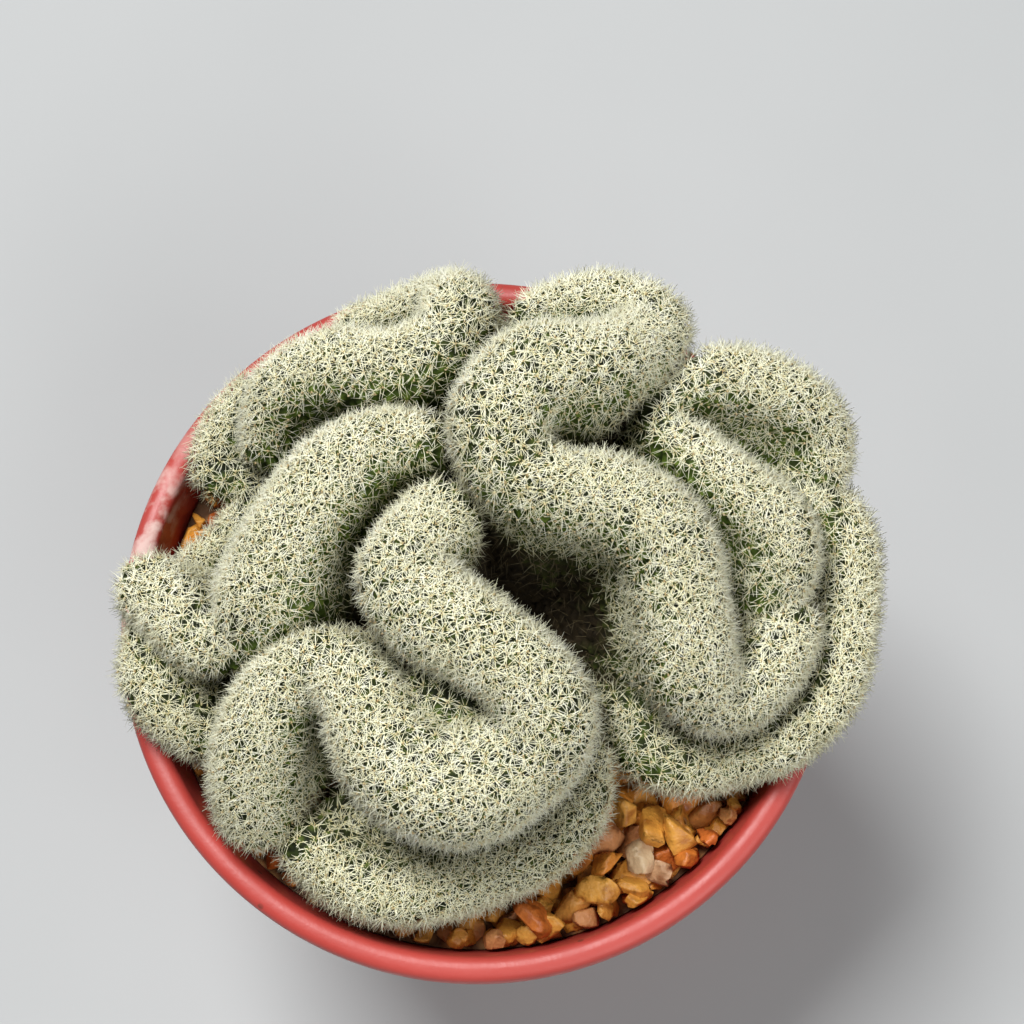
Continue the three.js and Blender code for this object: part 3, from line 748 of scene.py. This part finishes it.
# Spines go darker in shelter, on dried flesh and low down, and fewer of them are left there. The
# darkening in shelter is painted shade, and on dried flesh it is partly painted shade as well.
painted_shelter_shade = 1 - np.clip(sky / 0.6, 0, 1)
tone = 0.61 + random.normal(0, 0.13, stars) + random.normal(0, 0.08, (len(tips), 1))
low = np.clip((0.088 - tips[:, 2]) / 0.010, 0, 1)
tone -= (0.34 * painted_shelter_shade + 0.75 * dried_and_shaded + 0.12 * low)[:, None]
flank = np.clip((below[seen] - 0.004) / 0.006, 0, 1)
share = (0.45 + 0.85 * sky) * (1 - 0.85 * dried_and_shaded) * (1 - 0.4 * flank) * (1 - 0.5 * fresh[seen])
there = random.uniform(0, 1, stars) < share[:, None]
start, way, length = start.reshape(-1, 3), way.reshape(-1, 3), length.reshape(-1)
tone, there = np.clip(tone, 0, 1).reshape(-1), there.reshape(-1)

# A spine that ends in flesh is halved, and goes if it still does, or ends in the pot or gravel.
skin_room = 0.0001
blocked = to_folds(start + length[:, None] * way, spine_depth)[0] < skin_room
length = np.where(blocked, 0.5 * length, length)
end = start + length[:, None] * way
there &= to_folds(end, spine_depth)[0] > skin_room
there &= (np.abs(off_the_pot(end, 0.0002) - end).max(1) == 0) & (end[:, 2] > crest_foot)
start, way, length, tone = start[there], way[there], length[there], tone[there]
facing = np.repeat(outward, star, 0)[there]
order = np.argsort(start[:, 0])
for name, part in zip(["left", "middle_left", "middle_right", "right"], np.array_split(order, 4)):
    spikes("spines_" + name, start[part], way[part], length[part], spine_width, facing[part],
           tone[part], spine_finish)

areole_finish, shader = finish_of("areole felt", 0.9)
place = here(areole_finish)
felt = ramp(areole_finish, noise(areole_finish, place, 900.0),
            (0.3, 0.40, 0.27, 0.12), (0.7, 0.66, 0.58, 0.36))
colour(areole_finish, shader, felt)
bump(areole_finish, shader, noise(areole_finish, place, 9000.0), 0.00004)
felted = (dried_and_shaded < 0.4) & (sky > 0.45)
pad_radius, pad_sunk, pad_height = 0.00020, 0.0002, 0.00012
disc = pad_radius * np.stack([across, third, -across - third], 1) - pad_sunk * outward[:, None]
cushions = np.concatenate([disc, pad_height * outward[:, None]], 1) + tips[:, None]
cushions = cushions[felted]
pad_faces = np.array([[0, 1, 3], [1, 2, 3], [2, 0, 3], [0, 2, 1]])
felt_pads = made_object("areole_cushions", cushions.reshape(-1, 3),
                        [repeated(pad_faces, len(cushions), 4)], areole_finish)
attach(felt_pads, "root")


# ---- Gravel ----
# A top dressing of crushed quartzite chips, 3.5 to 6 mm and smaller along the wall, over a bed of
# fine grains. It is ochre, orange and pinkish brown, and was poured over the mix once the cactus
# was planted, so it lies round and under it.

gravel_bottom, bed_top = 0.0603, 0.0672
chip_finish, shader = finish_of("stone chips", 0.42)
place = here(chip_finish)
each_tone = node(chip_finish, "Attribute", {"attribute_name": "tone"}).outputs["Fac"]
stone = ramp(chip_finish, each_tone, (0.0, 0.52, 0.12, 0.024), (0.16, 0.58, 0.20, 0.028),
             (0.34, 0.64, 0.28, 0.038), (0.62, 0.66, 0.33, 0.060), (0.78, 0.56, 0.25, 0.060),
             (0.93, 0.52, 0.24, 0.11), (0.99, 0.54, 0.40, 0.24))
veins = ramp(chip_finish, noise(chip_finish, place, 420.0, 5.0),
             (0.30, 0.50, 0.36, 0.28), (0.5, 0.95, 0.92, 0.88), (0.72, 1.12, 1.12, 1.1))
colour(chip_finish, shader, blended(chip_finish, 1.0, stone, veins, "MULTIPLY"))
bump(chip_finish, shader, noise(chip_finish, place, 1600.0, 5.0), 0.00022)


def chip_shapes(count, random):
    """Broken stones: in the direction d a stone's surface is where the sum over its planes of
    (n.d / h) to a high power is 1, which is the nearest plane with its edges softened. The planes
    are a box's six and seven random cuts. Its normal is the mean of the planes' normals, each
    weighted by its share of that sum at a higher power still."""
    rings, sides, cuts, power, crisp_power = 7, 12, 7, 36, 90
    polar = (math.pi * (np.arange(rings) + 1) / (rings + 1))[:, None]
    a = np.linspace(0, 2 * math.pi, sides, endpoint=False)
    ball = np.stack(np.broadcast_arrays(np.sin(polar) * np.cos(a), np.sin(polar) * np.sin(a),
                                        -np.cos(polar)), -1).reshape(-1, 3)
    ball = np.vstack([ball, [0, 0, -1], [0, 0, 1]])
    box = np.repeat(np.vstack([np.eye(3), -np.eye(3)])[None], count, 0)
    planes = np.concatenate([box, unit(random.normal(size=(count, cuts, 3)))], 1)
    heights = np.concatenate([np.full((count, 6), 1.0),
                              random.uniform(0.50, 0.90, (count, cuts))], 1)
    share = np.maximum(np.einsum("ckx,px->ckp", planes, ball), 0) / heights[..., None]
    reach = (share**power).sum(1) ** (-1 / power)
    crisp = (share * reach[:, None]) ** crisp_power
    normals = np.einsum("ckp,ckx->cpx", crisp / heights[..., None], planes)
    stretch = np.stack([random.uniform(0.95, 1.15, count), random.uniform(0.70, 0.95, count),
                        random.uniform(0.55, 0.80, count)], 1)[:, None]
    turn = np.linalg.qr(random.normal(size=(count, 3, 3)))[0]
    turn[:, :, 0] *= np.sign(np.linalg.det(turn))[:, None]
    points = np.einsum("cij,cpj->cpi", turn, reach[..., None] * ball * stretch)
    normals = np.einsum("cij,cpj->cpi", turn, normals / stretch)
    return points, unit(normals), ring_faces(rings, sides)


def scattered(pitch, reach, random):
    """Places on a disc at the golden angle, one for each pitch squared, each nudged a little."""
    count = int(math.pi * (reach / pitch) ** 2)
    number = np.arange(count) + 0.5
    radius, angle = reach * np.sqrt(number / count), number * math.pi * (3 - math.sqrt(5))
    spot = np.stack([radius * np.cos(angle), radius * np.sin(angle)], 1)
    return spot + random.normal(0, 0.12 * pitch, spot.shape)


# Three layers of chips, the third only heaped up at the front.
stones = np.random.default_rng(21)
layer_rows = [(0.0036, 0.0660, 0.0670), (0.0036, 0.0680, 0.0694), (0.0037, 0.0702, 0.0713)]
layers = []
for pitch, low, high in layer_rows:
    spot = scattered(pitch, bore(bed_top) - 0.0025, stones)
    layers.append(np.column_stack([spot, stones.uniform(low, high, len(spot))]))
piled = (layers[2][:, 1] < -0.012) & (layers[2][:, 0] > -0.024)
centres = np.vstack([*layers[:2], layers[2][piled]])

# Two rounds of small chips along the wall, the upper one at the front only.
wall_circle, wall_round, wall_levels = 0.0378, 66, np.array([0.0680, 0.0700])
wall_turn = np.linspace(0, 4 * math.pi, 2 * wall_round, endpoint=False)
wall_turn = wall_turn + stones.normal(0, 0.02, 2 * wall_round)
wall_chips = np.stack([wall_circle * np.cos(wall_turn), wall_circle * np.sin(wall_turn),
                       np.repeat(wall_levels, wall_round)], 1)
in_front = (wall_chips[:, 1] < -0.010) & (wall_chips[:, 0] > -0.022)
wall_chips = wall_chips[(wall_chips[:, 2] < wall_levels.mean()) | in_front]
size = np.concatenate([stones.uniform(0.0021, 0.0030, len(centres)),
                       stones.uniform(0.0014, 0.0019, len(wall_chips))])
small = 0.0020
centres = np.vstack([centres, wall_chips])
shapes, shape_normals, shape_faces = chip_shapes(len(centres), stones)
shapes = size[:, None, None] * shapes

# A chip under a fold lies lower, with its top just below the crest's foot.
top = shapes[..., 2].max(1)
nearness = to_folds(centres + [0, 0, 0.001])[0]
under = nearness < 0.9 * size
lowered = np.minimum(centres[:, 2], crest_foot - 0.0003 - top)
centres[:, 2] = np.where(under, lowered, centres[:, 2])
chips = shapes + centres[:, None]

# A large chip that reaches the wall is pushed in from it, and a small one always touches it.
outmost = np.hypot(chips[..., 0], chips[..., 1]).max(1)
wall = bore(centres[:, 2]) - 0.0004
push = np.where(size < small, wall - outmost, np.minimum(0, wall - outmost))
flat = centres[:, :2] / np.linalg.norm(centres[:, :2], axis=1, keepdims=True)
chips[..., :2] += (push[:, None] * flat)[:, None]

# Chips stay off the stem and above the mix, and those that no one can see are left out.
apart_from_stem = np.hypot(centres[:, 0] - root[0], centres[:, 1] - root[1]) > 0.012
hidden = (nearness < -0.001) & (np.hypot(centres[:, 0], centres[:, 1]) < 0.030)
kept = (chips[..., 2].min(1) > gravel_bottom + 0.0003) & apart_from_stem & ~hidden
chips, chip_normals = chips[kept], shape_normals[kept]
faces = [repeated(group, len(chips), chips.shape[1]) for group in shape_faces]
grains = made_object("gravel_chips", chips.reshape(-1, 3), faces, chip_finish)
grains.data.normals_split_custom_set_from_vertices(chip_normals.reshape(-1, 3).tolist())
set_values(grains, "tone", np.repeat(stones.uniform(0, 1, len(chips)), chips.shape[1]))
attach(grains, "root")
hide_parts("gravel")

# The bed is painted darker than the chips, and darker still towards the edge of each cell: painted
# shade between the grains and down in the gaps under the chips, over the gravel's own brown.
bed_finish, shader = finish_of("fine gravel", 0.85)
place = here(bed_finish)
cells = node(bed_finish, "TexVoronoi", None, Vector=place, Scale=420.0)
grain_tone_with_painted_gaps = ramp(bed_finish, cells.outputs["Distance"],
                   (0.1, 0.50, 0.26, 0.09), (0.5, 0.12, 0.055, 0.02))
colour(bed_finish, shader, blended(bed_finish, 1.0, grain_tone_with_painted_gaps, (0.8, 0.8, 0.8, 1), "MULTIPLY"))
bump(bed_finish, shader, cells.outputs["Distance"], 0.001)

# The bed's line is closed round the axis, and its inner edge moves over to stand round the stem.
hole_radius, bed_room, bed_sides = 0.0066, 0.0001, 96
bed_line = rounded([(hole_radius, gravel_bottom), (bore(gravel_bottom) - bed_room, gravel_bottom),
                    (bore(bed_top) - bed_room, bed_top), (hole_radius, bed_top)], [0.0003] * 4, 3)
a = np.linspace(0, 2 * math.pi, bed_sides, endpoint=False)
r, z = bed_line[:, 0, None], bed_line[:, 1, None]
ring = np.stack(np.broadcast_arrays(r * np.cos(a), r * np.sin(a), z), -1)
inner = np.hypot(ring[..., 0], ring[..., 1]) < 0.007
ring[..., 0] += np.where(inner, root[0], 0)
ring[..., 1] += np.where(inner, root[1], 0)
i, j = np.meshgrid(np.arange(len(bed_line)), np.arange(bed_sides), indexing="ij")
p, k = (i + 1) % len(bed_line) * bed_sides, (j + 1) % bed_sides
i = i * bed_sides
quads = np.stack([i + j, i + k, p + k, p + j], -1).reshape(-1, 4)
bed = made_object("gravel_bed", ring.reshape(-1, 3), [quads], bed_finish)
bed.data.set_sharp_from_angle(angle=math.radians(40))
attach(bed, "root")
